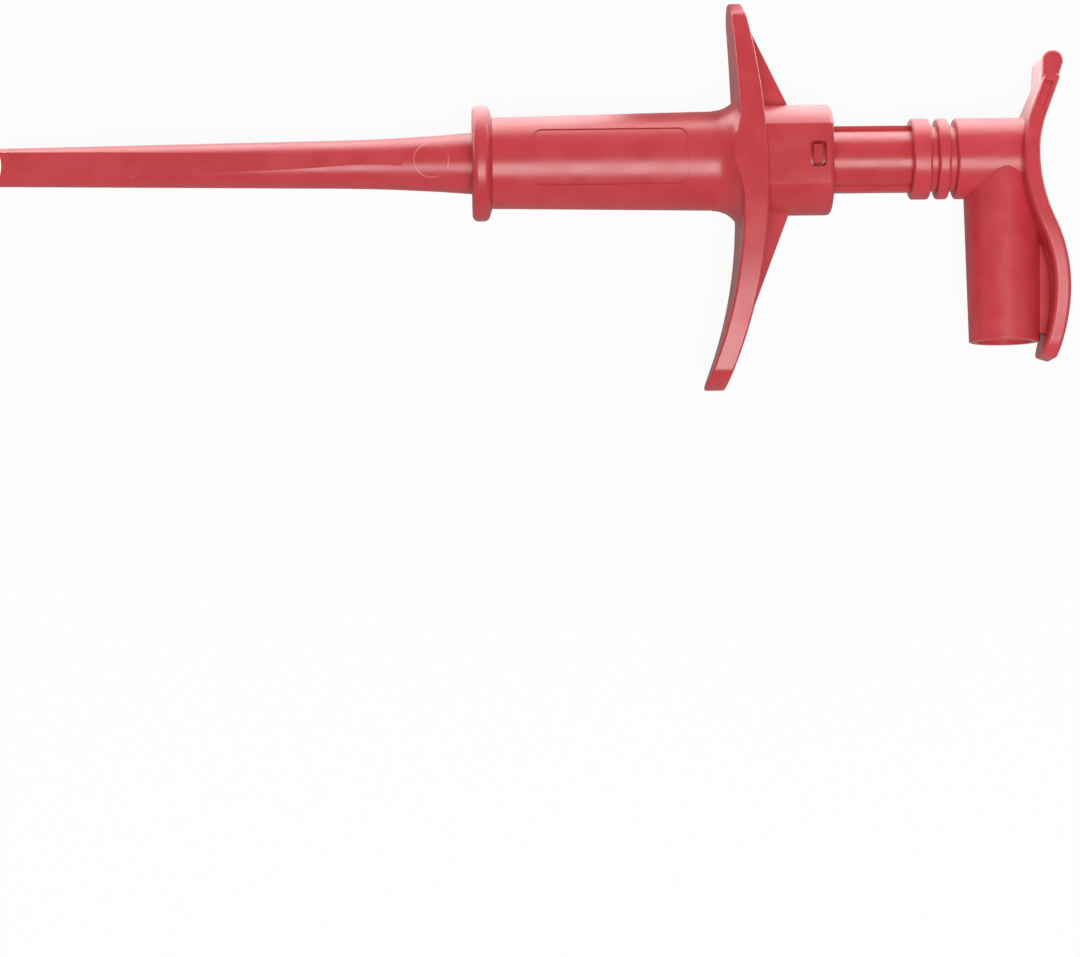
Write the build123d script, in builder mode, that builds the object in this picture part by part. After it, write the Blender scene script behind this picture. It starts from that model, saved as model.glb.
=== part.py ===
from build123d import *

import os
from math import asin, atan, cos, degrees, radians, sin, sqrt, tan

os.makedirs("parts", exist_ok=True)

# The clip lies along +X, nose tip at the origin, thumb rest at the far end, lead socket down -Y.
# Sizes are in millimetres.

# Clearances
running_gap = 0.05
seat_gap = 0.1
free_gap = 0.3

# How far an edge's radius may be off when edges are picked by it
radius_match = 0.01

# Travel of the plunger and what is left between its first ring and the collar when pushed in
plunger_travel = 11.5
plunger_overrun = 0.5

# Jaws: two hooked levers on one cross rivet in a flat fork
rivet_radius = 0.5
jaw_length = 13.3
jaw_retreat = 1.0
jaw_outer_y = 1.15
jaw_inner_y = 0.3
jaw_width = 1.5
jaw_hook_length = 1.6
jaw_tip_gap = 0.05
jaw_swing = 8.0
eye_radius = 1.1
eye_thickness = 0.55
fork_cheek = 0.4
fork_height = 3.2
fork_length = 8.6
rod_radius = 1.0
rod_grip_length = 3.5
spreader_wire = 0.3
spreader_length = 4.5

# Nose: a long tapered tube with a flat on each side and a jaw channel inside
nose_length = 70.6
nose_tip_radius = 2.85
nose_neck_x = 50.9
nose_neck_radius = 3.6
nose_root_radius = 4.6
nose_flat_height = 2.0
nose_flat_slope = 1.72
nose_notch_depth = 0.5
nose_notch_radius = 5.1
channel_side_gap = 0.15
sleeve_radius = 1.6
sleeve_front_gap = 12.5

# Flange in front of the grip
flange_radius = 8.7
flange_thickness = 2.4
flange_cone = 0.6
flange_edge_radius = 0.9

# Grip barrel with a shallow panel on each side
grip_front_radius = 6.85
grip_rear_radius = 7.5
grip_length = 37.05
panel_length = 23.0
panel_height = 8.4
panel_corner = 1.4
panel_depth = 0.14
panel_start = 6.0

# Finger shield: a bowed plate, both wings swept towards the nose, the lower one longer
shield_top = 23.7
shield_bottom = -34.6
shield_thickness = 3.8
shield_half_width = 8.7
shield_end_half_width = 5.2
shield_end_crown = 2.4
shield_corner_radius = 2.2
shield_edge_radius = 0.35
shield_front_apex_y = -7.0
shield_front_upper_radius = 340.0
shield_front_lower_radius = 67.5
shield_rear_apex_y = -4.0
shield_rear_upper_radius = 121.0
shield_rear_lower_radius = 75.0
flare_radius = 4.2
flare_sink = 0.25

# Ribs behind the shield
gusset_thickness = 2.6
gusset_foot = 3.5
gusset_top_reach = 22.3
gusset_bottom_reach = -32.3

# Collar at the rear of the housing, with a flat and a latch window on each side
collar_radius = 8.3
collar_flat_z = 6.97
collar_length = 9.95
collar_edge_radius = 0.7
window_length = 2.4
window_height = 3.8
window_corner = 0.6
window_from_rear = 1.2
nub_length = 1.35
nub_height = 2.85
nub_recess = 0.4

# Bores inside the housing
chamber_radius = 5.2
chamber_start = 2.4
bush_radius = 5.85
bush_inset = 0.3
bush_setback = 0.5

# Return spring and its front washer
washer_thickness = 0.5
washer_radius = 4.9
spring_wire_radius = 0.4
spring_radius = 4.3
spring_turns = 9

# Plunger shaft with a key along each side and a stop head in front
plunger_radius = 4.35
key_reach = 4.95
key_width = 2.0
head_radius = 5.05
head_length = 3.0
spigot_radius = 3.6
spigot_length = 9.7

# Handle: grip rings, elbow, socket tube and thumb plate in one moulding
ring_radius = 6.075
front_ring_width = 2.8
middle_ring_width = 1.8
groove_width = 1.0
groove_radius = 4.9
ring_edge_radius = 0.4
socket_offset = 7.2
tube_root_radius = 5.8
tube_mouth_radius = 5.325
tube_mouth_y = -27.8
tube_edge_radius = 0.3
shroud_radius = 4.1
shroud_depth = 17.0
inner_tube_radius = 3.0
inner_tube_recess = 1.0
contact_recess = 1.0
web_thickness = 3.0
web_bottom_y = -26.6

# Thumb plate: an S-curved strip, a bead along its upper end
plate_thickness = 2.4
plate_half_width = 8.7
plate_end_half_width = 5.0
plate_top_crown = 2.6
plate_bottom_crown = 4.0
plate_corner_radius = 2.4
plate_edge_radius = 0.6
plate_waist_offset = 3.5
plate_waist_y = -0.9
plate_hollow_radius = 19.0
plate_hollow_angle = 23.0
plate_lift = 6.2
plate_crest_back = 4.35
plate_crest_y = -20.5
plate_tail_radius = 28.0
plate_bottom_y = -31.5
bead_radius = 1.6
bead_half_width = 5.4
bead_edge_radius = 0.9
bead_neck = 2.0
bead_back = 3.9
bead_y = 14.1
recess_length = 4.2
recess_width = 1.3
recess_depth = 0.3
recess_back = 2.3
recess_y = 8.9
recess_tilt = 68.0

# Lead contact, its screw and the terminal on the rod
contact_bore_radius = 2.0
contact_wall = 0.45
contact_floor = 3.3
screw_radius = 0.95
screw_head_radius = 1.7
screw_head_height = 1.2
screw_grip = 3.6
terminal_radius = 2.5
terminal_length = 5.6
terminal_seat_y = -2.3
terminal_rod_depth = 2.1

# Places along the axis that follow from the sizes above
pivot_x = jaw_retreat + jaw_length
fork_front_x = pivot_x - eye_radius - free_gap
fork_rear_x = fork_front_x + fork_length
rod_front_x = fork_rear_x - rod_grip_length
channel_end_x = fork_rear_x + free_gap
sleeve_front_x = fork_rear_x + sleeve_front_gap
flange_rear_x = nose_length + flange_thickness
grip_front_x = flange_rear_x + flange_cone
shield_front_x = grip_front_x + grip_length
shield_rear_x = shield_front_x + shield_thickness
collar_rear_x = shield_rear_x + collar_length
chamber_front_x = grip_front_x + chamber_start
bush_front_x = shield_rear_x + bush_setback
bush_rear_x = collar_rear_x - bush_inset
head_rear_x = bush_front_x - seat_gap
head_front_x = head_rear_x - head_length
ring_front_x = collar_rear_x + plunger_travel + plunger_overrun
groove_a_x = ring_front_x + front_ring_width
middle_ring_x = groove_a_x + groove_width
groove_b_x = middle_ring_x + middle_ring_width
elbow_x = groove_b_x + groove_width
socket_x = elbow_x + socket_offset
waist_x = socket_x + plate_waist_offset
spigot_rear_x = ring_front_x + spigot_length
terminal_front_x = spigot_rear_x + free_gap
terminal_rear_x = terminal_front_x + terminal_length
rod_rear_x = terminal_front_x + terminal_rod_depth
sleeve_rear_x = head_front_x
window_rear_x = collar_rear_x - window_from_rear
window_x = window_rear_x - window_length / 2
contact_mouth_y = tube_mouth_y + inner_tube_recess + contact_recess
contact_floor_y = terminal_seat_y - contact_floor

# Sections that two or more pieces share
# The jaws need most room at the mouth when the rivet is half its way to the tip
jaw_spread = pivot_x / 2 * tan(radians(jaw_swing * pivot_x / 2 / plunger_travel))
channel_height = 2 * (jaw_outer_y + jaw_spread + free_gap)
fork_width = 2 * fork_cheek + jaw_width + 2 * running_gap
channel_width = fork_width + 2 * channel_side_gap
sleeve_bore_radius = sleeve_radius + seat_gap
# From waist to crest the thumb plate sways over two equal arcs
sway_rise = plate_waist_y - plate_crest_y
sway_angle = 2 * atan(plate_crest_back / sway_rise)
sway_radius = sway_rise / 2 / sin(sway_angle)
tail_angle = asin((plate_crest_y - plate_bottom_y - plate_thickness / 2) / plate_tail_radius)
crest_x = waist_x + plate_crest_back
bead_x = waist_x + bead_back
plate_top_y = bead_y + bead_radius
bush_bore_radius = plunger_radius + running_gap
contact_outer_radius = contact_bore_radius + contact_wall


def shield_rear_face(y):
    """Place of the shield's rear face at a height above the barrel axis."""
    radius = shield_rear_upper_radius if y > shield_rear_apex_y else shield_rear_lower_radius
    reach = y - shield_rear_apex_y
    return shield_rear_x - radius + sqrt(radius**2 - reach**2)


def rounded_outline(top, bottom, half_width, end_half_width, crowns, corner, inset=0.0):
    """Long oval seen along the barrel: bowed flanks, crowned ends, rounded corners."""
    middle = (top + bottom) / 2
    upper_y = top - crowns[0]
    lower_y = bottom + crowns[1]
    with BuildSketch(Plane.YZ) as sketch:
        with BuildLine():
            ThreePointArc(
                (upper_y, end_half_width), (middle, half_width), (lower_y, end_half_width)
            )
            ThreePointArc(
                (lower_y, end_half_width), (bottom, 0), (lower_y, -end_half_width)
            )
            ThreePointArc(
                (lower_y, -end_half_width), (middle, -half_width), (upper_y, -end_half_width)
            )
            ThreePointArc((upper_y, -end_half_width), (top, 0), (upper_y, end_half_width))
        make_face()
        fillet(sketch.vertices(), corner)
        if inset > 0:
            offset(amount=-inset, mode=Mode.REPLACE)
    return sketch.sketch


def plate_side(shift):
    """Draw one long side of the thumb plate's section, shift behind its middle line."""
    waist = (waist_x + shift, plate_waist_y)
    hollow = JernArc(waist, (0, 1), plate_hollow_radius - shift, -plate_hollow_angle)
    lift = Line(hollow @ 1, hollow @ 1 + (hollow % 1) * plate_lift)
    sway = JernArc(waist, (0, -1), sway_radius - shift, degrees(sway_angle))
    crest = JernArc(sway @ 1, sway % 1, sway_radius + shift, -degrees(sway_angle))
    tail = JernArc(crest @ 1, crest % 1, plate_tail_radius + shift, -degrees(tail_angle))
    return lift @ 1, tail @ 1


# The outlines of the two plates, carried on along the whole barrel
shield_envelope = extrude(
    rounded_outline(
        shield_top,
        shield_bottom,
        shield_half_width,
        shield_end_half_width,
        (shield_end_crown, shield_end_crown),
        shield_corner_radius,
    ),
    amount=collar_rear_x,
)
plate_reach_x = crest_x + plate_thickness
plate_envelope = extrude(
    rounded_outline(
        plate_top_y,
        plate_bottom_y,
        plate_half_width,
        plate_end_half_width,
        (plate_top_crown, plate_bottom_crown),
        plate_corner_radius,
    ),
    amount=plate_reach_x,
)

# Finger shield: a bowed plate with a rounded rim
with BuildPart() as shield:
    with BuildSketch(Plane.XY):
        with BuildLine():
            front_up = JernArc(
                (shield_front_x, shield_front_apex_y),
                (0, 1),
                shield_front_upper_radius,
                degrees(asin((shield_top - shield_front_apex_y) / shield_front_upper_radius)),
            )
            front_down = JernArc(
                (shield_front_x, shield_front_apex_y),
                (0, -1),
                shield_front_lower_radius,
                -degrees(asin((shield_front_apex_y - shield_bottom) / shield_front_lower_radius)),
            )
            rear_up = JernArc(
                (shield_rear_x, shield_rear_apex_y),
                (0, 1),
                shield_rear_upper_radius,
                degrees(asin((shield_top - shield_rear_apex_y) / shield_rear_upper_radius)),
            )
            rear_down = JernArc(
                (shield_rear_x, shield_rear_apex_y),
                (0, -1),
                shield_rear_lower_radius,
                -degrees(asin((shield_rear_apex_y - shield_bottom) / shield_rear_lower_radius)),
            )
            Line(front_up @ 1, rear_up @ 1)
            Line(front_down @ 1, rear_down @ 1)
        make_face()
    extrude(amount=shield_half_width, both=True)
    add(shield_envelope, mode=Mode.INTERSECT)
    fillet(shield.edges(), shield_edge_radius)

# Flare that carries the shield on the barrel, cut off by the shield's own outline
with BuildPart() as flare:
    with BuildSketch(Plane.XY):
        flare_end_x = shield_front_x + flare_sink
        flare_start = (flare_end_x - flare_radius, grip_rear_radius)
        flare_end = (flare_end_x, grip_rear_radius + flare_radius)
        with BuildLine():
            RadiusArc(flare_start, flare_end, -flare_radius)
            Polyline(
                flare_end,
                (flare_end_x + seat_gap, grip_rear_radius + flare_radius),
                (flare_end_x + seat_gap, 0),
                (flare_end_x - flare_radius, 0),
                flare_start,
            )
        make_face()
    revolve(axis=Axis.X)
    add(shield_envelope, mode=Mode.INTERSECT)

# Housing: nose, flange, grip, shield, ribs and collar are one moulding
with BuildPart() as housing:
    with BuildSketch(Plane.XY):
        with BuildLine():
            taper = Line((0, nose_tip_radius), (nose_neck_x, nose_neck_radius))
            swell = TangentArc(taper @ 1, (nose_length, nose_root_radius), tangent=taper % 1)
            Polyline(
                swell @ 1,
                (nose_length, flange_radius),
                (flange_rear_x, flange_radius),
                (grip_front_x, grip_front_radius),
                (shield_front_x, grip_rear_radius),
                (shield_front_x, 0),
                (0, 0),
                (0, nose_tip_radius),
            )
        make_face()
    revolve(axis=Axis.X)
    flange_edges = housing.edges().filter_by(GeomType.CIRCLE)
    flange_edges = flange_edges.filter_by(lambda edge: abs(edge.radius - flange_radius) < radius_match)
    fillet(flange_edges, flange_edge_radius)
    add(shield.part)
    add(flare.part)
    with BuildSketch(Plane.YZ.offset(shield_front_x)):
        Circle(collar_radius)
        Rectangle(2 * collar_radius, 2 * collar_flat_z, mode=Mode.INTERSECT)
    extrude(amount=collar_rear_x - shield_front_x)
    collar_end = housing.faces().sort_by(Axis.X)[-1]
    fillet(collar_end.edges(), collar_edge_radius)
    with BuildSketch(Plane.XY):
        anchor = ((shield_front_x + shield_rear_x) / 2, 0)
        foot_x = shield_rear_x + gusset_foot
        for reach, foot_y in (
            (gusset_top_reach, collar_radius),
            (gusset_bottom_reach, -collar_radius),
        ):
            tip = (shield_rear_face(reach) - free_gap, reach)
            Polygon(anchor, (foot_x, 0), (foot_x, foot_y), tip, align=None)
    extrude(amount=gusset_thickness / 2, both=True)
    # The flats run out into the round of the nose
    flat_end_x = nose_neck_x + 2 * nose_root_radius
    flat_rise = tan(radians(nose_flat_slope))
    with BuildSketch(Plane.XZ):
        Polygon(
            (-nose_tip_radius, nose_flat_height - nose_tip_radius * flat_rise),
            (flat_end_x, nose_flat_height + flat_end_x * flat_rise),
            (flat_end_x, 2 * nose_root_radius),
            (-nose_tip_radius, 2 * nose_root_radius),
            align=None,
        )
        mirror(about=Plane.XY)
    extrude(amount=2 * nose_tip_radius, both=True, mode=Mode.SUBTRACT)
    # A saddle across the tip seats the gripped wire
    with BuildSketch(Plane.XY):
        with Locations((nose_notch_depth - nose_notch_radius, 0)):
            Circle(nose_notch_radius)
    extrude(amount=2 * nose_tip_radius, both=True, mode=Mode.SUBTRACT)
    # Jaw channel, rod bore, spring chamber and bush pocket
    with BuildSketch(Plane.YZ.offset(-seat_gap)):
        Rectangle(channel_height, channel_width)
    extrude(amount=channel_end_x + seat_gap, mode=Mode.SUBTRACT)
    with BuildSketch(Plane.YZ):
        Circle(sleeve_bore_radius)
    extrude(amount=chamber_front_x, mode=Mode.SUBTRACT)
    with BuildSketch(Plane.YZ.offset(chamber_front_x)):
        Circle(chamber_radius)
    extrude(amount=bush_front_x - chamber_front_x, mode=Mode.SUBTRACT)
    with BuildSketch(Plane.YZ.offset(bush_front_x)):
        Circle(bush_radius + running_gap)
    extrude(amount=collar_rear_x - bush_front_x, mode=Mode.SUBTRACT)
    # Latch windows through both flats
    with BuildSketch(Plane.XY):
        with Locations((window_x, 0)):
            RectangleRounded(window_length, window_height, window_corner)
    extrude(amount=collar_radius, both=True, mode=Mode.SUBTRACT)
    # Shallow panel on each side of the grip
    with BuildSketch(Plane.XY) as panel_sketch:
        with Locations((grip_front_x + panel_start + panel_length / 2, 0)):
            RectangleRounded(panel_length, panel_height, panel_corner)
    panel_block = extrude(
        panel_sketch.sketch, amount=collar_radius, both=True, mode=Mode.PRIVATE
    )
    panel_core = Plane.YZ.offset(grip_front_x) * Cone(
        grip_front_radius - panel_depth,
        grip_rear_radius - panel_depth,
        grip_length,
        align=(Align.CENTER, Align.CENTER, Align.MIN),
        mode=Mode.PRIVATE,
    )
    add(panel_block - panel_core, mode=Mode.SUBTRACT)
housing.part.label = "housing"
export_step(housing.part, "parts/housing.step")

# Guide bush, latched in the collar by a nub on each side
with BuildPart() as guide_bush:
    with BuildSketch(Plane.YZ.offset(bush_front_x)):
        Circle(bush_radius)
        Circle(bush_bore_radius, mode=Mode.SUBTRACT)
        Rectangle(
            2 * (key_reach + running_gap), key_width + 2 * running_gap, mode=Mode.SUBTRACT
        )
    extrude(amount=bush_rear_x - bush_front_x)
    with BuildSketch(Plane.XY.offset(bush_bore_radius + free_gap)):
        with Locations((window_x, 0)):
            RectangleRounded(nub_length, nub_height, window_corner / 2)
    extrude(amount=collar_flat_z - nub_recess - bush_bore_radius - free_gap)
    with BuildSketch(Plane.XY.offset(-bush_bore_radius - free_gap)):
        with Locations((window_x, 0)):
            RectangleRounded(nub_length, nub_height, window_corner / 2)
    extrude(amount=-(collar_flat_z - nub_recess - bush_bore_radius - free_gap))
guide_bush.part.label = "guide_bush"
export_step(guide_bush.part, "parts/guide_bush.step")

# Washer under the front end of the return spring
with BuildPart() as spring_washer:
    with BuildSketch(Plane.YZ.offset(chamber_front_x)):
        Circle(washer_radius)
        Circle(sleeve_bore_radius, mode=Mode.SUBTRACT)
    extrude(amount=washer_thickness)
spring_washer.part.label = "spring_washer"
export_step(spring_washer.part, "parts/spring_washer.step")

# Return spring with ground ends
spring_front_x = chamber_front_x + washer_thickness
spring_length = head_front_x - seat_gap - spring_front_x
with BuildPart() as return_spring:
    with BuildLine():
        coil = Helix(
            spring_length / spring_turns,
            spring_length,
            spring_radius,
            center=(spring_front_x, 0, 0),
            direction=(1, 0, 0),
        )
    with BuildSketch(Plane(origin=coil @ 0, z_dir=coil % 0)):
        Circle(spring_wire_radius)
    sweep(is_frenet=True)
    with BuildSketch(Plane.YZ.offset(spring_front_x)):
        Circle(chamber_radius)
    extrude(amount=spring_length, mode=Mode.INTERSECT)
return_spring.part.label = "return_spring"
export_step(return_spring.part, "parts/return_spring.step")

# Plunger shaft: stop head, keyed round shaft and a spigot for the handle
with BuildPart() as plunger_shaft:
    with BuildSketch(Plane.YZ.offset(head_front_x)):
        Circle(head_radius)
    extrude(amount=head_length)
    with BuildSketch(Plane.YZ.offset(head_front_x)):
        Circle(plunger_radius)
        Rectangle(2 * key_reach, key_width)
    extrude(amount=ring_front_x - head_front_x)
    with BuildSketch(Plane.YZ.offset(ring_front_x)):
        Circle(spigot_radius)
    extrude(amount=spigot_length)
    chamfer(plunger_shaft.faces().sort_by(Axis.X)[-1].edges(), free_gap)
    with BuildSketch(Plane.YZ.offset(head_front_x)):
        Circle(rod_radius + running_gap)
    extrude(amount=spigot_rear_x - head_front_x, mode=Mode.SUBTRACT)
plunger_shaft.part.label = "plunger_shaft"
export_step(plunger_shaft.part, "parts/plunger_shaft.step")

# Contact rod from the jaw fork to the terminal
with BuildPart() as contact_rod:
    with BuildSketch(Plane.YZ.offset(rod_front_x)):
        Circle(rod_radius)
    extrude(amount=rod_rear_x - rod_front_x)
contact_rod.part.label = "contact_rod"
export_step(contact_rod.part, "parts/contact_rod.step")

# Insulating sleeve that centres the rod in the nose
with BuildPart() as rod_sleeve:
    with BuildSketch(Plane.YZ.offset(sleeve_front_x)):
        Circle(sleeve_radius)
        Circle(rod_radius + running_gap, mode=Mode.SUBTRACT)
    extrude(amount=sleeve_rear_x - sleeve_front_x)
rod_sleeve.part.label = "rod_sleeve"
export_step(rod_sleeve.part, "parts/rod_sleeve.step")

# Fork on the front of the rod: two cheeks carry the jaw rivet
with BuildPart() as jaw_fork:
    with BuildSketch(Plane.XY):
        with Locations(((fork_front_x + fork_rear_x) / 2, 0)):
            Rectangle(fork_length, fork_height)
    extrude(amount=fork_width / 2, both=True)
    front_edges = jaw_fork.edges().filter_by(Axis.Z).group_by(Axis.X)[0]
    fillet(front_edges, fork_height / 3)
    fork_slot_x = pivot_x + eye_radius + free_gap
    with BuildSketch(Plane.XZ):
        with Locations(((fork_front_x + fork_slot_x) / 2, 0)):
            Rectangle(fork_slot_x - fork_front_x, jaw_width + 2 * running_gap)
    extrude(amount=fork_height, both=True, mode=Mode.SUBTRACT)
    with BuildSketch(Plane.YZ.offset(rod_front_x)):
        Circle(rod_radius + running_gap)
    extrude(amount=rod_grip_length, mode=Mode.SUBTRACT)
    with BuildSketch(Plane.XY):
        with Locations((pivot_x, 0)):
            Circle(rivet_radius + running_gap / 2)
    extrude(amount=fork_width, both=True, mode=Mode.SUBTRACT)
jaw_fork.part.label = "jaw_fork"
export_step(jaw_fork.part, "parts/jaw_fork.step")

# Cross rivet that both jaws turn on
with BuildPart() as jaw_rivet:
    with BuildSketch(Plane.XY):
        with Locations((pivot_x, 0)):
            Circle(rivet_radius)
    extrude(amount=fork_width / 2, both=True)
jaw_rivet.part.label = "jaw_rivet"
export_step(jaw_rivet.part, "parts/jaw_rivet.step")

# Upper jaw: a hooked leg and a lapped eye
leg_rear_x = pivot_x - eye_radius - channel_side_gap
with BuildPart() as upper_jaw:
    with BuildSketch(Plane.XY):
        hook_x = jaw_retreat + jaw_hook_length
        Polygon(
            (leg_rear_x, jaw_inner_y),
            (hook_x, jaw_inner_y),
            (hook_x - jaw_hook_length / 3, jaw_tip_gap),
            (jaw_retreat, jaw_tip_gap),
            (jaw_retreat + jaw_inner_y, jaw_outer_y - jaw_inner_y),
            (hook_x - jaw_inner_y, jaw_outer_y),
            (leg_rear_x, jaw_outer_y),
            align=None,
        )
    extrude(amount=jaw_width / 2, both=True)
    with BuildSketch(Plane.XY.offset(jaw_width / 2 - eye_thickness)):
        with Locations((pivot_x, 0)):
            Circle(eye_radius)
        Polygon(
            (leg_rear_x, jaw_inner_y),
            (pivot_x, jaw_inner_y),
            (pivot_x, eye_radius),
            (leg_rear_x, jaw_outer_y),
            align=None,
        )
        with Locations((pivot_x, 0)):
            Circle(rivet_radius + running_gap, mode=Mode.SUBTRACT)
    extrude(amount=eye_thickness)
upper_jaw.part.label = "upper_jaw"
export_step(upper_jaw.part, "parts/upper_jaw.step")

# Lower jaw: the same piece turned over
with BuildPart() as lower_jaw:
    add(upper_jaw.part.rotate(Axis.X, 180))
lower_jaw.part.label = "lower_jaw"
export_step(lower_jaw.part, "parts/lower_jaw.step")

# Hairpin spring round the rivet, pressing the jaws apart
with BuildPart() as jaw_spring:
    with BuildSketch(Plane.XY):
        spreader_loop = rivet_radius + running_gap + spreader_wire
        leg_pitch = jaw_inner_y / 2
        with Locations((pivot_x, 0)):
            Circle(spreader_loop)
        with Locations((pivot_x - (spreader_length + spreader_loop) / 2, 0)):
            with Locations((0, leg_pitch), (0, -leg_pitch)):
                Rectangle(spreader_length, leg_pitch)
        with Locations((pivot_x, 0)):
            Circle(rivet_radius + running_gap, mode=Mode.SUBTRACT)
    extrude(amount=spreader_wire / 2, both=True)
jaw_spring.part.label = "jaw_spring"
export_step(jaw_spring.part, "parts/jaw_spring.step")

# Thumb plate, made as two faces that run side by side
with BuildPart() as thumb_plate:
    with BuildSketch(Plane.XY):
        with BuildLine():
            front_top, front_bottom = plate_side(-plate_thickness / 2)
            rear_top, rear_bottom = plate_side(plate_thickness / 2)
            Line(front_top, rear_top)
            Line(front_bottom, rear_bottom)
        make_face()
    extrude(amount=plate_half_width, both=True)
    add(plate_envelope, mode=Mode.INTERSECT)
    fillet(thumb_plate.edges(), plate_edge_radius)

# Rounded bead that the upper end of the thumb plate runs out into
with BuildPart() as thumb_bead:
    with BuildSketch(Plane.XY):
        with Locations((bead_x, bead_y)):
            Circle(bead_radius)
        neck_x = (front_top.X + rear_top.X) / 2 - bead_neck * sin(radians(plate_hollow_angle))
        neck_y = (front_top.Y + rear_top.Y) / 2 - bead_neck * cos(radians(plate_hollow_angle))
        with Locations((neck_x, neck_y)):
            Circle(plate_thickness / 2 - seat_gap)
        make_hull()
    extrude(amount=bead_half_width, both=True)
    fillet(thumb_bead.faces().filter_by(Axis.Z).edges(), bead_edge_radius)

# Room behind the thumb plate's middle line, where nothing may reach past its rear face
with BuildPart() as plate_back:
    with BuildSketch(Plane.XY):
        with BuildLine():
            back_top, back_bottom = plate_side(0)
            Polyline(
                back_top,
                (plate_reach_x, back_top.Y),
                (plate_reach_x, back_bottom.Y),
                back_bottom,
            )
        make_face()
    extrude(amount=plate_half_width, both=True)

# Handle
with BuildPart() as handle:
    with BuildSketch(Plane.XY):
        Polygon(
            (ring_front_x, 0),
            (ring_front_x, ring_radius),
            (groove_a_x, ring_radius),
            (groove_a_x, groove_radius),
            (middle_ring_x, groove_radius),
            (middle_ring_x, ring_radius),
            (groove_b_x, ring_radius),
            (groove_b_x, groove_radius),
            (elbow_x, groove_radius),
            (elbow_x, ring_radius),
            (waist_x, ring_radius),
            (waist_x, 0),
            align=None,
        )
    revolve(axis=Axis.X)
    ring_edges = handle.edges().filter_by(GeomType.CIRCLE)
    ring_edges = ring_edges.filter_by(
        lambda edge: abs(edge.radius - ring_radius) < radius_match
        and edge.arc_center.X < waist_x - plate_thickness
    )
    fillet(ring_edges, ring_edge_radius)
    with BuildSketch(Plane.XY):
        Polygon(
            (socket_x, 0),
            (socket_x + tube_root_radius, 0),
            (socket_x + tube_mouth_radius, tube_mouth_y),
            (socket_x, tube_mouth_y),
            align=None,
        )
    revolve(axis=Axis((socket_x, 0, 0), (0, 1, 0)))
    mouth_edge = handle.faces().sort_by(Axis.Y)[0].edges()
    fillet(mouth_edge, tube_edge_radius)
    add(plate_back.part, mode=Mode.SUBTRACT)
    add(thumb_plate.part)
    add(thumb_bead.part)
    with BuildSketch(Plane.XY):
        foot_drop = plate_crest_y - web_bottom_y
        Polygon(
            (socket_x, plate_waist_y),
            (waist_x, plate_waist_y),
            (waist_x + plate_crest_back / 2, (plate_waist_y + plate_crest_y) / 2),
            (crest_x, plate_crest_y),
            (crest_x - foot_drop**2 / plate_tail_radius / 2, web_bottom_y),
            (socket_x, web_bottom_y),
            align=None,
        )
    extrude(amount=web_thickness / 2, both=True)
    # Bore for the spigot, pocket for the terminal
    with BuildSketch(Plane.YZ.offset(ring_front_x)):
        Circle(spigot_radius + running_gap)
    extrude(amount=spigot_rear_x + free_gap - ring_front_x, mode=Mode.SUBTRACT)
    with BuildSketch(Plane.YZ.offset(spigot_rear_x)):
        Circle(terminal_radius + running_gap)
    extrude(amount=terminal_rear_x + free_gap - spigot_rear_x, mode=Mode.SUBTRACT)
    # Ring-shaped well for the plug's sleeve round an inner tube
    with BuildSketch(Plane.XZ.offset(-tube_mouth_y)):
        with Locations((socket_x, 0)):
            Circle(shroud_radius)
    extrude(amount=-inner_tube_recess, mode=Mode.SUBTRACT)
    with BuildSketch(Plane.XZ.offset(-tube_mouth_y)):
        with Locations((socket_x, 0)):
            Circle(shroud_radius)
            Circle(inner_tube_radius, mode=Mode.SUBTRACT)
    extrude(amount=-shroud_depth, mode=Mode.SUBTRACT)
    with BuildSketch(Plane.XZ.offset(-tube_mouth_y)):
        with Locations((socket_x, 0)):
            Circle(contact_outer_radius + running_gap)
    extrude(amount=tube_mouth_y, mode=Mode.SUBTRACT)
    # Small field sunk in the near rim of the thumb plate
    with BuildSketch(Plane.XY) as field_sketch:
        with Locations(Location((waist_x + recess_back, recess_y), recess_tilt)):
            Rectangle(recess_length, recess_width)
    field_block = extrude(field_sketch.sketch, amount=plate_half_width, mode=Mode.PRIVATE)
    field_core = extrude(
        rounded_outline(
            plate_top_y,
            plate_bottom_y,
            plate_half_width,
            plate_end_half_width,
            (plate_top_crown, plate_bottom_crown),
            plate_corner_radius,
            inset=recess_depth,
        ),
        amount=plate_reach_x,
        mode=Mode.PRIVATE,
    )
    add(field_block - field_core, mode=Mode.SUBTRACT)
handle.part.label = "handle"
export_step(handle.part, "parts/handle.step")

# Terminal on the rear end of the rod, tapped for the contact screw
with BuildPart() as rod_terminal:
    with BuildSketch(Plane.YZ.offset(terminal_front_x)):
        Circle(terminal_radius)
    extrude(amount=terminal_length)
    with BuildSketch(Plane.XY):
        with Locations((terminal_front_x, terminal_seat_y)):
            Rectangle(terminal_length, terminal_radius, align=(Align.MIN, Align.MAX))
    extrude(amount=terminal_radius, both=True, mode=Mode.SUBTRACT)
    with BuildSketch(Plane.YZ.offset(terminal_front_x)):
        Circle(rod_radius + running_gap)
    extrude(amount=terminal_rod_depth + running_gap, mode=Mode.SUBTRACT)
    with BuildSketch(Plane.XZ.offset(-terminal_seat_y)):
        with Locations((socket_x, 0)):
            Circle(screw_radius + running_gap)
    extrude(amount=-screw_grip - running_gap, mode=Mode.SUBTRACT)
rod_terminal.part.label = "rod_terminal"
export_step(rod_terminal.part, "parts/rod_terminal.step")

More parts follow.
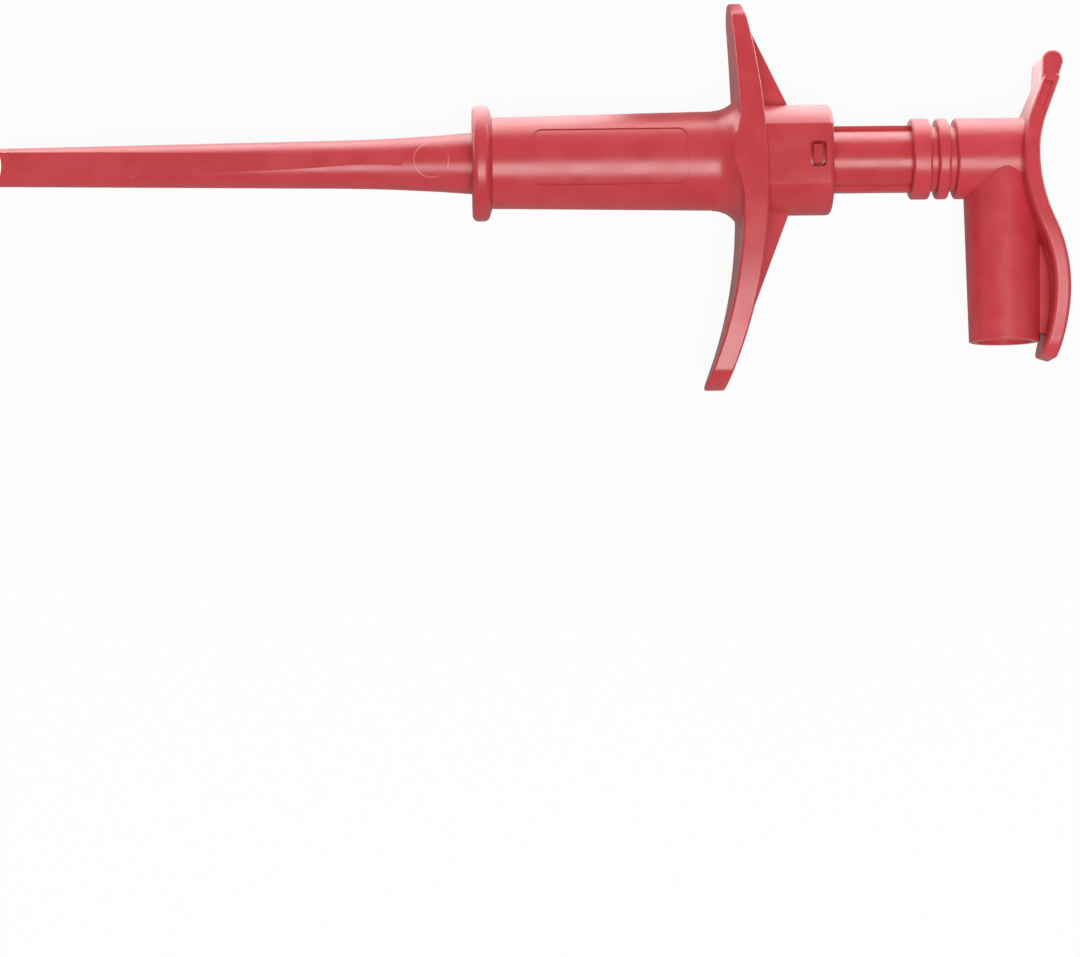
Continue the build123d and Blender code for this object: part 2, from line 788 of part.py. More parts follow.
# Lead contact: a plain socket with a screwed floor
with BuildPart() as socket_contact:
    with BuildSketch(Plane.XZ.offset(-contact_mouth_y)):
        with Locations((socket_x, 0)):
            Circle(contact_outer_radius)
    extrude(amount=contact_mouth_y - terminal_seat_y)
    with BuildSketch(Plane.XZ.offset(-contact_mouth_y)):
        with Locations((socket_x, 0)):
            Circle(contact_bore_radius)
    extrude(amount=contact_mouth_y - contact_floor_y, mode=Mode.SUBTRACT)
    with BuildSketch(Plane.XZ.offset(-contact_floor_y)):
        with Locations((socket_x, 0)):
            Circle(screw_head_radius + seat_gap)
    extrude(amount=-screw_head_height - seat_gap, mode=Mode.SUBTRACT)
    with BuildSketch(Plane.XZ.offset(-contact_floor_y)):
        with Locations((socket_x, 0)):
            Circle(screw_radius + running_gap)
    extrude(amount=-contact_floor, mode=Mode.SUBTRACT)
socket_contact.part.label = "socket_contact"
export_step(socket_contact.part, "parts/socket_contact.step")

# Slotted screw that pulls the contact against the terminal
head_seat_y = contact_floor_y + screw_head_height + seat_gap
with BuildPart() as contact_screw:
    with BuildSketch(Plane.XZ.offset(-head_seat_y)):
        with Locations((socket_x, 0)):
            Circle(screw_head_radius)
    extrude(amount=screw_head_height)
    with BuildSketch(Plane.XZ.offset(-head_seat_y)):
        with Locations((socket_x, 0)):
            Circle(screw_radius)
    extrude(amount=-(terminal_seat_y + screw_grip - head_seat_y))
contact_screw.part.label = "contact_screw"
export_step(contact_screw.part, "parts/contact_screw.step")
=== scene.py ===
import math

import bmesh
import bpy
from mathutils import Matrix, Vector


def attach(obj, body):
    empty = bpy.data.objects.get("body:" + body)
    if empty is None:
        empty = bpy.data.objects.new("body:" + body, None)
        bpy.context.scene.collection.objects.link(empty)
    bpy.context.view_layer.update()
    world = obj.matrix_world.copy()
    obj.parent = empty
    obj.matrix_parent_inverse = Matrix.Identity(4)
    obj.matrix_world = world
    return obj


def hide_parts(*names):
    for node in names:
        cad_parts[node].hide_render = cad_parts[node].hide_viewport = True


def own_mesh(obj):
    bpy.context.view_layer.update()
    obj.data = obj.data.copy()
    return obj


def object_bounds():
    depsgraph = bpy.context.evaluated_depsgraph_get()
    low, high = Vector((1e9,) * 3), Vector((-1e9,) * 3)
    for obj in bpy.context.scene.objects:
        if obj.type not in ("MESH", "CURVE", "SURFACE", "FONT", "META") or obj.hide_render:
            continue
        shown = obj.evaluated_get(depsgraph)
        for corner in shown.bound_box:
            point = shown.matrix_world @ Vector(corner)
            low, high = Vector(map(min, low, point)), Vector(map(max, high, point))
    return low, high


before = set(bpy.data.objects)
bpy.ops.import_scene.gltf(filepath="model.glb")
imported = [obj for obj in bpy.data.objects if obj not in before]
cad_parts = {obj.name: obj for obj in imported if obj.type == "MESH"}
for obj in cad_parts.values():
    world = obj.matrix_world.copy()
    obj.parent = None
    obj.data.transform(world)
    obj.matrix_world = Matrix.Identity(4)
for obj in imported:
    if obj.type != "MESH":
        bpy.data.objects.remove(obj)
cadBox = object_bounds()
print("frame loaded:", len(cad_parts), "nodes")

mm = 0.001  # the scene is in metres, so sizes below are written as a number times mm


def linear(red, green, blue):  # a screen colour, 0 to 255, as the shader wants it
    parts = []
    for value in (red, green, blue):
        value /= 255
        parts.append(value / 12.92 if value <= 0.04045 else ((value + 0.055) / 1.055) ** 2.4)
    return (*parts, 1)


def newGroup(name, inputs, outputs):  # shader node group with named sockets
    tree = bpy.data.node_groups.new(name, "ShaderNodeTree")
    for label, kind, default in inputs:
        socket = tree.interface.new_socket(label, in_out="INPUT", socket_type=kind)
        socket.default_value = default
    for label, kind in outputs:
        tree.interface.new_socket(label, in_out="OUTPUT", socket_type=kind)
    return tree, tree.nodes.new("NodeGroupInput"), tree.nodes.new("NodeGroupOutput")


def addMath(tree, operation, first, second=None, clamp=False):
    node = tree.nodes.new("ShaderNodeMath")
    node.operation = operation
    node.use_clamp = clamp
    for socket, value in zip(node.inputs, (first, second)):
        if isinstance(value, (int, float)):
            socket.default_value = value
        elif value is not None:
            tree.links.new(value, socket)
    return node.outputs[0]


def addRamp(tree, value, low, high):  # 0 below low, 1 above high, smooth between
    node = tree.nodes.new("ShaderNodeMapRange")
    node.interpolation_type = "SMOOTHSTEP"
    node.inputs["From Min"].default_value = low
    node.inputs["From Max"].default_value = high
    tree.links.new(value, node.inputs["Value"])
    return node.outputs["Result"]


def addNoise(tree, vector, size, detail=2.0, roughness=0.5):  # size is one blob, across
    node = tree.nodes.new("ShaderNodeTexNoise")
    node.inputs["Detail"].default_value = detail
    node.inputs["Roughness"].default_value = roughness
    tree.links.new(vector, node.inputs["Vector"])
    if isinstance(size, (int, float)):
        node.inputs["Scale"].default_value = 1 / size
    else:
        tree.links.new(addMath(tree, "DIVIDE", 1.0, size), node.inputs["Scale"])
    return node.outputs["Fac"]


# Fine pitted skin that a spark-eroded mould leaves, with larger dull and shiny patches
mouldSkin = {
    "pitDetail": 3.0,
    "pitRoughness": 0.6,
    "waveSize": 3.2,  # in pits
    "waveHeight": 0.6,
    "patchDetail": 2.0,
    "patchRoughness": 0.55,
    "patchEdges": (0.35, 0.65),
}


def makeMouldGrain():
    tree, enter, leave = newGroup(
        "mouldGrain",
        [
            ("Vector", "NodeSocketVector", (0, 0, 0)),
            ("Grain Size", "NodeSocketFloat", 0.3 * mm),
            ("Patch Size", "NodeSocketFloat", 3 * mm),
        ],
        [("Height", "NodeSocketFloat"), ("Patches", "NodeSocketFloat")],
    )
    place = enter.outputs["Vector"]
    pitSize = enter.outputs["Grain Size"]
    pits = addNoise(tree, place, pitSize, mouldSkin["pitDetail"], mouldSkin["pitRoughness"])
    waveSize = addMath(tree, "MULTIPLY", pitSize, mouldSkin["waveSize"])
    waves = addNoise(tree, place, waveSize, 1.0)
    patches = addNoise(
        tree,
        place,
        enter.outputs["Patch Size"],
        mouldSkin["patchDetail"],
        mouldSkin["patchRoughness"],
    )
    waves = addMath(tree, "MULTIPLY", waves, mouldSkin["waveHeight"])
    tree.links.new(addMath(tree, "ADD", pits, waves), leave.inputs["Height"])
    tree.links.new(addRamp(tree, patches, *mouldSkin["patchEdges"]), leave.inputs["Patches"])
    return tree


# Fine dust that lies scattered on a handled surface, one grain in some of the cells
def makeDustSpecks():
    tree, enter, leave = newGroup(
        "dustSpecks",
        [
            ("Vector", "NodeSocketVector", (0, 0, 0)),
            ("Speck Spacing", "NodeSocketFloat", 1.5 * mm),
            ("Speck Share", "NodeSocketFloat", 0.1),
            ("Largest Speck", "NodeSocketFloat", 0.06),
        ],
        [("Mask", "NodeSocketFloat")],
    )
    cells = tree.nodes.new("ShaderNodeTexVoronoi")
    cells.feature = "F1"
    tree.links.new(enter.outputs["Vector"], cells.inputs["Vector"])
    scale = addMath(tree, "DIVIDE", 1.0, enter.outputs["Speck Spacing"])
    tree.links.new(scale, cells.inputs["Scale"])
    split = tree.nodes.new("ShaderNodeSeparateColor")
    tree.links.new(cells.outputs["Color"], split.inputs["Color"])
    chosen = addMath(tree, "LESS_THAN", split.outputs["Red"], enter.outputs["Speck Share"])
    reach = addMath(tree, "MULTIPLY", split.outputs["Green"], enter.outputs["Largest Speck"])
    inside = addMath(tree, "LESS_THAN", cells.outputs["Distance"], reach)
    tree.links.new(addMath(tree, "MULTIPLY", chosen, inside), leave.inputs["Mask"])
    return tree


# Thin round witness line that an ejector pin leaves, given by its place and radius. Parts of it
# are worn away, where a noise lies below these values.
pinWear = (0.4, 0.55)


def makePinMark():
    tree, enter, leave = newGroup(
        "pinMark",
        [
            ("Vector", "NodeSocketVector", (0, 0, 0)),
            ("Centre", "NodeSocketVector", (0, 0, 0)),
            ("Radius", "NodeSocketFloat", 2.5 * mm),
            ("Line Width", "NodeSocketFloat", 0.15 * mm),
        ],
        [("Line", "NodeSocketFloat")],
    )
    gap = tree.nodes.new("ShaderNodeVectorMath")
    gap.operation = "DISTANCE"
    tree.links.new(enter.outputs["Vector"], gap.inputs[0])
    tree.links.new(enter.outputs["Centre"], gap.inputs[1])
    offset = addMath(tree, "SUBTRACT", gap.outputs["Value"], enter.outputs["Radius"])
    share = addMath(tree, "DIVIDE", addMath(tree, "ABSOLUTE", offset), enter.outputs["Line Width"])
    line = addMath(tree, "SUBTRACT", 1.0, share, clamp=True)
    wear = addNoise(tree, enter.outputs["Vector"], enter.outputs["Radius"], 1.0)
    line = addMath(tree, "MULTIPLY", line, addRamp(tree, wear, *pinWear))
    tree.links.new(line, leave.inputs["Line"])
    return tree


mouldGrain = makeMouldGrain()
dustSpecks = makeDustSpecks()
pinMark = makePinMark()
print("shader groups ready")


def placeGroup(tree, group, vector, values):
    node = tree.nodes.new("ShaderNodeGroup")
    node.node_tree = group
    tree.links.new(vector, node.inputs["Vector"])
    for label, value in values.items():
        node.inputs[label].default_value = value
    return node


def startMaterial(name):
    material = bpy.data.materials.new(name)
    material.use_nodes = True
    tree = material.node_tree
    surface = tree.nodes["Principled BSDF"]
    place = tree.nodes.new("ShaderNodeTexCoord").outputs["Object"]
    return material, tree, surface, place


def mixColours(tree, factor, first, second):
    node = tree.nodes.new("ShaderNodeMix")
    node.data_type = "RGBA"
    tree.links.new(factor, node.inputs["Factor"])
    for label, value in (("A", first), ("B", second)):
        socket = [one for one in node.inputs if one.name == label and one.type == "RGBA"][0]
        if isinstance(value, tuple):
            socket.default_value = value
        else:
            tree.links.new(value, socket)
    return [one for one in node.outputs if one.type == "RGBA"][0]


def makePlastic(name, look):
    material, tree, surface, place = startMaterial(name)
    grain = placeGroup(tree, mouldGrain, place, {
        "Grain Size": look["grainSize"],
        "Patch Size": look["patchSize"],
    })
    specks = placeGroup(tree, dustSpecks, place, {
        "Speck Spacing": look["speckSpacing"],
        "Speck Share": look["speckShare"],
        "Largest Speck": look["largestSpeck"],
    })
    dusty = addMath(tree, "MULTIPLY", specks.outputs["Mask"], look["speckFade"])
    colour = mixColours(tree, grain.outputs["Patches"], look["colour"], look["patchColour"])
    colour = mixColours(tree, dusty, colour, look["speckColour"])
    height = grain.outputs["Height"]
    for centre, radius in look["pinMarks"]:
        mark = placeGroup(tree, pinMark, place, {
            "Centre": centre,
            "Radius": radius,
            "Line Width": look["pinLine"],
        })
        raised = addMath(tree, "MULTIPLY", mark.outputs["Line"], look["pinHeight"])
        height = addMath(tree, "ADD", height, raised)
        faint = addMath(tree, "MULTIPLY", mark.outputs["Line"], look["pinFade"])
        colour = mixColours(tree, faint, colour, look["speckColour"])
    tree.links.new(colour, surface.inputs["Base Color"])
    dullness = addMath(tree, "MULTIPLY", grain.outputs["Patches"], look["roughnessSpread"])
    tree.links.new(addMath(tree, "ADD", dullness, look["roughness"]), surface.inputs["Roughness"])
    surface.inputs["Specular IOR Level"].default_value = look["gloss"]
    bump = tree.nodes.new("ShaderNodeBump")
    bump.inputs["Strength"].default_value = look["bumpStrength"]
    bump.inputs["Distance"].default_value = look["bumpDepth"]
    tree.links.new(height, bump.inputs["Height"])
    tree.links.new(bump.outputs["Normal"], surface.inputs["Normal"])
    return material


# Drawn or turned metal with fine lines along one way and a few stains
metalSkin = {
    "detail": 3.0,
    "roughness": 0.6,
    "stainEdges": (0.45, 0.75),
}


def makeMetal(name, look):
    material, tree, surface, place = startMaterial(name)
    stretch = tree.nodes.new("ShaderNodeMapping")
    stretch.inputs["Scale"].default_value = look["lineStretch"]
    tree.links.new(place, stretch.inputs["Vector"])
    skin = (metalSkin["detail"], metalSkin["roughness"])
    lines = addNoise(tree, stretch.outputs["Vector"], look["lineSize"], *skin)
    stain = addNoise(tree, place, look["stainSize"], *skin)
    stain = addRamp(tree, stain, *metalSkin["stainEdges"])
    colour = mixColours(tree, stain, look["colour"], look["stainColour"])
    tree.links.new(colour, surface.inputs["Base Color"])
    surface.inputs["Metallic"].default_value = 1.0
    spread = addMath(tree, "MULTIPLY", lines, look["roughnessSpread"])
    tree.links.new(addMath(tree, "ADD", spread, look["roughness"]), surface.inputs["Roughness"])
    bump = tree.nodes.new("ShaderNodeBump")
    bump.inputs["Strength"].default_value = look["bumpStrength"]
    bump.inputs["Distance"].default_value = look["bumpDepth"]
    tree.links.new(lines, bump.inputs["Height"])
    tree.links.new(bump.outputs["Normal"], surface.inputs["Normal"])
    return material


# Housing, bush and handle: matte red moulding with fine grain
grainedRed = {
    "colour": linear(194, 58, 64),
    "patchColour": linear(199, 63, 69),
    "grainSize": 0.22 * mm,
    "patchSize": 5 * mm,
    "speckColour": linear(226, 150, 146),
    "speckSpacing": 1.1 * mm,
    "speckShare": 0.16,
    "largestSpeck": 0.09,
    "speckFade": 0.5,
    "roughness": 0.29,
    "roughnessSpread": 0.07,
    "gloss": 0.5,
    "bumpStrength": 0.35,
    "bumpDepth": 0.02 * mm,
    "pinMarks": [
        ((64.5 * mm, 0, 4.0 * mm), 2.6 * mm),
        ((64.5 * mm, 0, -4.0 * mm), 2.6 * mm),
    ],
    "pinLine": 0.16 * mm,
    "pinHeight": 2.5,
    "pinFade": 0.5,
}
housingRed = makePlastic("housingRed", grainedRed)
# The handle's red is the housing's red made a little lighter: painted light that brightens the
# whole handle
handlePaintedLighterRed = makePlastic("handlePaintedLighterRed", grainedRed | {
    "colour": linear(200, 61, 68),
    "patchColour": linear(205, 67, 74),
    "grainSize": 0.18 * mm,
    "patchSize": 4 * mm,
    "pinMarks": [],
})

# Plunger: the same colour with a finer and glossier skin
shaftRed = makePlastic("shaftRed", grainedRed | {
    "grainSize": 0.16 * mm,
    "roughness": 0.26,
    "bumpStrength": 0.12,
    "speckShare": 0.03,
    "pinMarks": [],
})

contactNickel = makeMetal("contactNickel", {
    "colour": linear(214, 209, 196),
    "stainColour": linear(198, 189, 168),
    "stainSize": 3 * mm,
    "lineSize": 0.12 * mm,
    "lineStretch": (0.1, 1.0, 1.0),
    "roughness": 0.22,
    "roughnessSpread": 0.08,
    "bumpStrength": 0.05,
    "bumpDepth": 0.01 * mm,
})
springSteel = makeMetal("springSteel", {
    "colour": linear(190, 191, 193),
    "stainColour": linear(146, 142, 136),
    "stainSize": 4 * mm,
    "lineSize": 0.08 * mm,
    "lineStretch": (1.0, 0.15, 0.15),
    "roughness": 0.22,
    "roughnessSpread": 0.16,
    "bumpStrength": 0.1,
    "bumpDepth": 0.01 * mm,
})
sleevePlastic = makePlastic("sleevePlastic", grainedRed | {
    "colour": linear(228, 226, 216),
    "patchColour": linear(218, 215, 203),
    "speckColour": linear(190, 186, 174),
    "roughness": 0.32,
    "bumpStrength": 0.1,
    "pinMarks": [],
})
print("materials ready")


# The CAD nodes come as flat triangles. A welded copy stands for each, and its normals follow the
# turned surface that the triangles stand for, so no long thin triangle shows in a highlight.
smoothing = {
    "weld": 0.0005 * mm,
    "flatAngle": math.radians(0.4),
    "sharpAngle": math.radians(47),
    "roundSlack": math.sin(math.radians(10)),
    "coarseSlack": math.sin(math.radians(22)),
    "leastRadius": 0.25 * mm,
    "largestRadius": 8.6 * mm,
}
barrelAxis = (Vector((0, 0, 0)), Vector((1, 0, 0)))
socketPlaces = [vertex.co.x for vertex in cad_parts["socket_contact"].data.vertices]
socketMiddle = (min(socketPlaces) + max(socketPlaces)) / 2
socketAxis = (Vector((socketMiddle, 0, 0)), Vector((0, -1, 0)))


def awayFrom(axis, point):  # the way straight out from an axis to a point near it, else None
    gap = point - axis[0]
    gap -= axis[1] * gap.dot(axis[1])
    near = smoothing["leastRadius"] < gap.length < smoothing["largestRadius"]
    return gap.normalized() if near else None


def findAxis(face, axes, slack):  # the axis that a face is turned about, if there is one
    for axis in axes:
        for vertex in face.verts:
            out = awayFrom(axis, vertex.co)
            if out is None or abs(face.normal.dot(axis[1].cross(out))) > slack:
                break
        else:
            return axis
    return None


def cornerNormals(shape, axes, slack):
    turned = {face: findAxis(face, axes, slack) for face in shape.faces}
    size = {face: face.calc_area() for face in shape.faces}
    nearEnough = math.cos(smoothing["sharpAngle"])
    normals = []
    for face in shape.faces:
        axis = turned[face]
        for corner in face.loops:
            total = Vector()
            for other in corner.vert.link_loops:
                alike = axis is None or turned[other.face] is axis
                if alike and face.normal.dot(other.face.normal) > nearEnough:
                    total += other.face.normal * (size[other.face] * other.calc_angle())
            if axis is not None:
                out = awayFrom(axis, corner.vert.co)
                total = axis[1] * total.dot(axis[1]) + out * total.dot(out)
            normals.append(total.normalized() if total.length > 0 else face.normal.copy())
    return normals


# Beside and behind the flats of the nose some large triangles cut through the round. They are
# split and their new corners pushed out to the round again.
noseRound = {
    "front": 19 * mm,
    "rear": 65.8 * mm,
    "innerRadius": 3.1 * mm,
    "largestSag": 0.01 * mm,
    "flatArea": 20 * mm * mm,
    "passes": 5,
}


def radiusOf(point):
    return math.hypot(point.y, point.z)


def sagOf(edge):  # how far the middle of an edge lies inside the round of the nose
    ends = [vertex.co for vertex in edge.verts]
    inside = all(noseRound["front"] < end.x < noseRound["rear"] for end in ends)
    outer = all(radiusOf(end) > noseRound["innerRadius"] for end in ends)
    small = all(face.calc_area() < noseRound["flatArea"] for face in edge.link_faces)
    if not (inside and outer and small):
        return 0
    return (radiusOf(ends[0]) + radiusOf(ends[1])) / 2 - radiusOf((ends[0] + ends[1]) / 2)


def roundNose(shape):
    for _ in range(noseRound["passes"]):
        sagging = [edge for edge in shape.edges if sagOf(edge) > noseRound["largestSag"]]
        wanted = []
        for edge in sagging:
            first, last = (vertex.co for vertex in edge.verts)
            wanted.append(((first + last) / 2, (radiusOf(first) + radiusOf(last)) / 2))
        split = bmesh.ops.subdivide_edges(shape, edges=sagging, cuts=1)["geom_inner"]
        touched = set()
        for vertex in [item for item in split if isinstance(item, bmesh.types.BMVert)]:
            radius = min(wanted, key=lambda pair: (pair[0] - vertex.co).length)[1]
            growth = radius / radiusOf(vertex.co)
            vertex.co.y *= growth
            vertex.co.z *= growth
            touched.update(vertex.link_faces)
        bmesh.ops.triangulate(shape, faces=[face for face in touched if len(face.verts) > 3])


def dressNode(
    nodeName, body, material, axes=(barrelAxis,), slack=smoothing["roundSlack"]
):
    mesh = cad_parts[nodeName].data.copy()
    shape = bmesh.new()
    shape.from_mesh(mesh)
    bmesh.ops.remove_doubles(shape, verts=shape.verts, dist=smoothing["weld"])
    bmesh.ops.dissolve_limit(
        shape, angle_limit=smoothing["flatAngle"], verts=shape.verts, edges=shape.edges
    )
    if nodeName == "housing":
        roundNose(shape)
    shape.normal_update()
    normals = cornerNormals(shape, axes, slack)
    shape.to_mesh(mesh)
    shape.free()
    mesh.materials.clear()
    mesh.materials.append(material)
    mesh.shade_smooth()
    mesh.normals_split_custom_set(normals)
    piece = bpy.data.objects.new(nodeName + "Finish", mesh)
    bpy.context.collection.objects.link(piece)
    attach(piece, body)
    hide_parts(nodeName)
    return piece


dressNode("housing", "body", housingRed, slack=smoothing["coarseSlack"])
dressNode("guide_bush", "body", housingRed)
dressNode("handle", "plunger", handlePaintedLighterRed, (barrelAxis, socketAxis))
dressNode("plunger_shaft", "plunger", shaftRed)
dressNode("rod_sleeve", "plunger", sleevePlastic)
for name in (
    "contact_rod",
    "jaw_fork",
    "jaw_rivet",
    "rod_terminal",
    "socket_contact",
    "contact_screw",
):
    dressNode(name, "plunger", contactNickel)
dressNode("upper_jaw", "upper_jaw", contactNickel)
dressNode("lower_jaw", "lower_jaw", contactNickel)
dressNode("jaw_spring", "plunger", springSteel)
dressNode("spring_washer", "body", springSteel)
print("moulded and turned pieces dressed")

# Return spring: one wire wound with a closed turn at each end
springShape = {
    "wireRadius": 0.4 * mm,
    "coilRadius": 4.3 * mm,
    "turns": 11.0,
    "closedTurns": 1.0,
    "pointsPerTurn": 48,
    "wireSides": 14,
    "pressedShare": 0.666,
}


def makeCoilTree(material):
    tree = bpy.data.node_groups.new("coiledWire", "GeometryNodeTree")
    for label, kind, default in (
        ("Length", "NodeSocketFloat", 30 * mm),
        ("Coil Radius", "NodeSocketFloat", springShape["coilRadius"]),
        ("Wire Radius", "NodeSocketFloat", springShape["wireRadius"]),
        ("Turns", "NodeSocketFloat", springShape["turns"]),
        ("Closed Turns", "NodeSocketFloat", springShape["closedTurns"]),
        ("Points", "NodeSocketInt", 500),
        ("Wire Sides", "NodeSocketInt", springShape["wireSides"]),
    ):
        socket = tree.interface.new_socket(label, in_out="INPUT", socket_type=kind)
        socket.default_value = default
    tree.interface.new_socket("Geometry", in_out="OUTPUT", socket_type="NodeSocketGeometry")
    enter = tree.nodes.new("NodeGroupInput").outputs
    wireWidth = addMath(tree, "MULTIPLY", enter["Wire Radius"], 2.0)
    line = tree.nodes.new("GeometryNodeMeshLine")
    tree.links.new(enter["Points"], line.inputs["Count"])
    place = tree.nodes.new("GeometryNodeInputIndex").outputs[0]
    lastPlace = addMath(tree, "SUBTRACT", enter["Points"], 1.0)
    turn = addMath(tree, "MULTIPLY", addMath(tree, "DIVIDE", place, lastPlace), enter["Turns"])
    angle = addMath(tree, "MULTIPLY", turn, math.tau)
    # The two closed ends climb one wire width a turn, and the turns between share the rest
    closedBoth = addMath(tree, "MULTIPLY", enter["Closed Turns"], 2.0)
    openTurns = addMath(tree, "SUBTRACT", enter["Turns"], closedBoth)
    closedLength = addMath(tree, "MULTIPLY", wireWidth, addMath(tree, "ADD", closedBoth, 1.0))
    openLength = addMath(tree, "SUBTRACT", enter["Length"], closedLength)
    pitch = addMath(tree, "DIVIDE", openLength, openTurns)
    opened = addMath(tree, "SUBTRACT", turn, enter["Closed Turns"])
    opened = addMath(tree, "MINIMUM", addMath(tree, "MAXIMUM", opened, 0.0), openTurns)
    along = addMath(tree, "MULTIPLY", opened, pitch)
    tight = addMath(tree, "MULTIPLY", addMath(tree, "SUBTRACT", turn, opened), wireWidth)
    along = addMath(tree, "ADD", addMath(tree, "ADD", along, tight), enter["Wire Radius"])
    spot = tree.nodes.new("ShaderNodeCombineXYZ")
    tree.links.new(along, spot.inputs["X"])
    for label, wave in (("Y", "COSINE"), ("Z", "SINE")):
        swing = addMath(tree, wave, angle)
        tree.links.new(addMath(tree, "MULTIPLY", swing, enter["Coil Radius"]), spot.inputs[label])
    shift = tree.nodes.new("GeometryNodeSetPosition")
    tree.links.new(line.outputs["Mesh"], shift.inputs["Geometry"])
    tree.links.new(spot.outputs["Vector"], shift.inputs["Position"])
    curve = tree.nodes.new("GeometryNodeMeshToCurve")
    tree.links.new(shift.outputs["Geometry"], curve.inputs["Mesh"])
    section = tree.nodes.new("GeometryNodeCurvePrimitiveCircle")
    tree.links.new(enter["Wire Sides"], section.inputs["Resolution"])
    tree.links.new(enter["Wire Radius"], section.inputs["Radius"])
    wire = tree.nodes.new("GeometryNodeCurveToMesh")
    wire.inputs["Fill Caps"].default_value = True
    tree.links.new(curve.outputs["Curve"], wire.inputs["Curve"])
    tree.links.new(section.outputs["Curve"], wire.inputs["Profile Curve"])
    smooth = tree.nodes.new("GeometryNodeSetShadeSmooth")
    realize = tree.nodes.new("GeometryNodeRealizeInstances")
    paint = tree.nodes.new("GeometryNodeSetMaterial")
    paint.inputs["Material"].default_value = material
    leave = tree.nodes.new("NodeGroupOutput")
    last = wire.outputs["Mesh"]
    for node in (smooth, realize, paint):
        tree.links.new(last, node.inputs["Geometry"])
        last = node.outputs["Geometry"]
    tree.links.new(last, leave.inputs["Geometry"])
    return tree


def makeReturnSpring():
    room = [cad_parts["return_spring"].matrix_world @ vertex.co
            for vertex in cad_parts["return_spring"].data.vertices]
    front = min(point.x for point in room)
    rear = max(point.x for point in room)
    tree = makeCoilTree(springSteel)
    spring = bpy.data.objects.new("returnSpringCoil", bpy.data.meshes.new("returnSpringCoil"))
    bpy.context.collection.objects.link(spring)
    coil = spring.modifiers.new("coil", "NODES")
    coil.node_group = tree
    wanted = {
        "Length": rear - front,
        "Points": int(springShape["turns"] * springShape["pointsPerTurn"]),
    }
    for socket in tree.interface.items_tree:
        if socket.in_out == "INPUT" and socket.name in wanted:
            coil[socket.identifier] = wanted[socket.name]
    ready = spring.evaluated_get(bpy.context.evaluated_depsgraph_get())
    finished = bpy.data.meshes.new_from_object(ready)
    spring.modifiers.clear()
    spring.data = finished
    spring.location = (front, 0, 0)
    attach(spring, "body")
    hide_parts("return_spring")
    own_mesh(spring)


makeReturnSpring()
print("return spring wound")

# Floor, lamps and camera. The camera sees plain white paper. Reflections see a painted glow on the
# paper, bright beyond the clip and dim on the near side, with a painted shadow where the finger
# shield stands on it.
studio = {
    "floorSize": 4.0,
    "floorColour": linear(240, 240, 240),
    "floorRoughness": 0.9,
    "floorGloss": 0.1,
    "floorDrop": 0.02 * mm,
    "seenWhite": 0.94,
    "worldStrength": 0.25,
    # Painted glow that only reflections see: dim on the near side, bright beyond the clip
    "nearGlow": 0.35,
    "farGlow": 6.5,
    "glowStart": -1 * mm,
    "glowEnd": 42 * mm,
    # Painted shadow in that glow, where the finger shield stands on the paper
    "shieldPlace": 104 * mm,
    "shieldPaintedShadow": (7 * mm, 15 * mm),
}
floorHeight = cadBox[0][2] - studio["floorDrop"]


def makeFloor():
    bpy.ops.mesh.primitive_plane_add(size=studio["floorSize"], location=(0, 0, floorHeight))
    floor = bpy.context.object
    floor.name = "studioFloor"
    material, tree, surface, place = startMaterial("floorPaper")
    surface.inputs["Base Color"].default_value = studio["floorColour"]
    surface.inputs["Roughness"].default_value = studio["floorRoughness"]
    surface.inputs["Specular IOR Level"].default_value = studio["floorGloss"]
    path = tree.nodes.new("ShaderNodeLightPath")
    spot = tree.nodes.new("ShaderNodeSeparateXYZ")
    tree.links.new(place, spot.inputs["Vector"])
    # Painted glow for reflections, bright beyond the clip, times a painted shadow band around the
    # finger shield
    paintedGlow = addRamp(tree, spot.outputs["Y"], studio["glowStart"], studio["glowEnd"])
    gap = addMath(tree, "SUBTRACT", spot.outputs["X"], studio["shieldPlace"])
    lit = addRamp(tree, addMath(tree, "ABSOLUTE", gap), *studio["shieldPaintedShadow"])
    paintedGlow = addMath(tree, "MULTIPLY", addMath(tree, "MULTIPLY", paintedGlow, lit), studio["farGlow"])
    seen = addMath(tree, "ADD", path.outputs["Is Camera Ray"], path.outputs["Is Transmission Ray"])
    last = surface.outputs["BSDF"]
    for share, strength in (
        (addMath(tree, "MULTIPLY", seen, studio["seenWhite"]), 1.0),
        (path.outputs["Is Glossy Ray"], addMath(tree, "ADD", paintedGlow, studio["nearGlow"])),
    ):
        shine = tree.nodes.new("ShaderNodeEmission")
        if isinstance(strength, float):
            shine.inputs["Strength"].default_value = strength
        else:
            tree.links.new(strength, shine.inputs["Strength"])
        mix = tree.nodes.new("ShaderNodeMixShader")
        tree.links.new(share, mix.inputs["Fac"])
        tree.links.new(last, mix.inputs[1])
        tree.links.new(shine.outputs["Emission"], mix.inputs[2])
        last = mix.outputs["Shader"]
    tree.links.new(last, tree.nodes["Material Output"].inputs["Surface"])
    floor.data.materials.append(material)


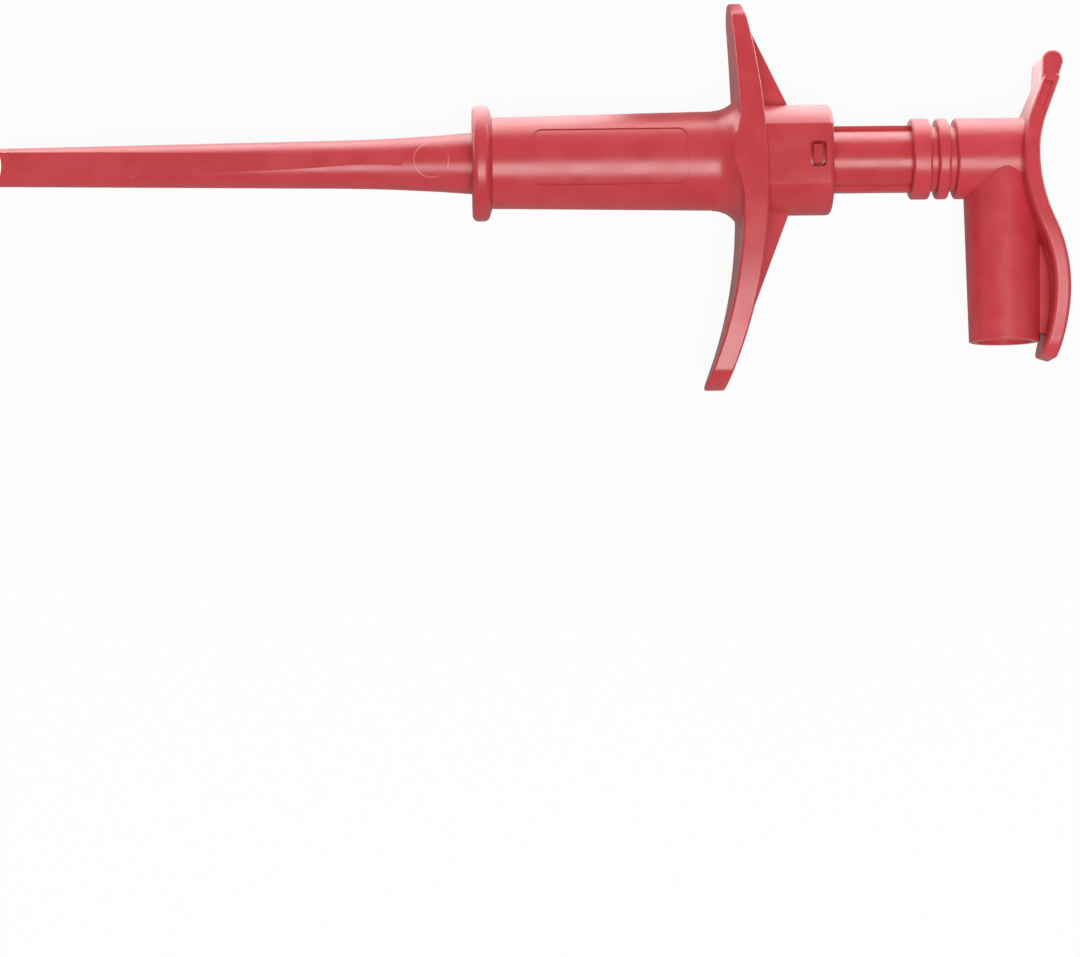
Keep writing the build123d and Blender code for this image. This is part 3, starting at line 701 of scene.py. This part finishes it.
def makeWorld():
    world = bpy.data.worlds.new("studioWorld")
    world.use_nodes = True
    bpy.context.scene.world = world
    tree = world.node_tree
    back = tree.nodes["Background"]
    back.inputs["Color"].default_value = (1, 1, 1, 1)
    path = tree.nodes.new("ShaderNodeLightPath")
    seen = addMath(tree, "MULTIPLY", path.outputs["Is Camera Ray"], 1 - studio["worldStrength"])
    tree.links.new(addMath(tree, "ADD", seen, studio["worldStrength"]), back.inputs["Strength"])


lampAim = Vector((0.08, 0, 0))
lamps = {
    "backSoftbox": {"place": (0.12, 0.5, 0.08), "size": (0.8, 0.16), "power": 2.0},
    "topSoftbox": {"place": (0.12, -0.3, 0.7), "size": (0.45, 0.36), "power": 4.4},
}


def makeLamps():
    for name, lamp in lamps.items():
        light = bpy.data.lights.new(name, "AREA")
        light.shape = "RECTANGLE"
        light.size, light.size_y = lamp["size"]
        light.energy = lamp["power"]
        holder = bpy.data.objects.new(name, light)
        holder.location = lamp["place"]
        ahead = lampAim - holder.location
        holder.rotation_euler = ahead.to_track_quat("-Z", "Y").to_euler()
        bpy.context.collection.objects.link(holder)


camera = {
    "place": (65.85 * mm, -78.27 * mm, 520 * mm),
    "aim": (80.15 * mm, -47.45 * mm, 0),
    "frameWidth": 161.2 * mm,
    "sensorWidth": 36,
    "roll": math.radians(0.79),
}


def makeCamera():
    place = Vector(camera["place"])
    ahead = Vector(camera["aim"]) - place
    data = bpy.data.cameras.new("copyStand")
    data.sensor_width = camera["sensorWidth"]
    data.lens = data.sensor_width * ahead.length / camera["frameWidth"]
    holder = bpy.data.objects.new("copyStand", data)
    back = -ahead.normalized()
    upright = Vector((math.sin(camera["roll"]), math.cos(camera["roll"]), 0))
    side = upright.cross(back).normalized()
    turn = Matrix((side, back.cross(side), back)).transposed().to_4x4()
    holder.matrix_world = Matrix.Translation(place) @ turn
    bpy.context.collection.objects.link(holder)
    bpy.context.scene.camera = holder


makeFloor()
makeWorld()
makeLamps()
makeCamera()
bpy.context.scene.view_settings.view_transform = "Standard"
print("studio ready")
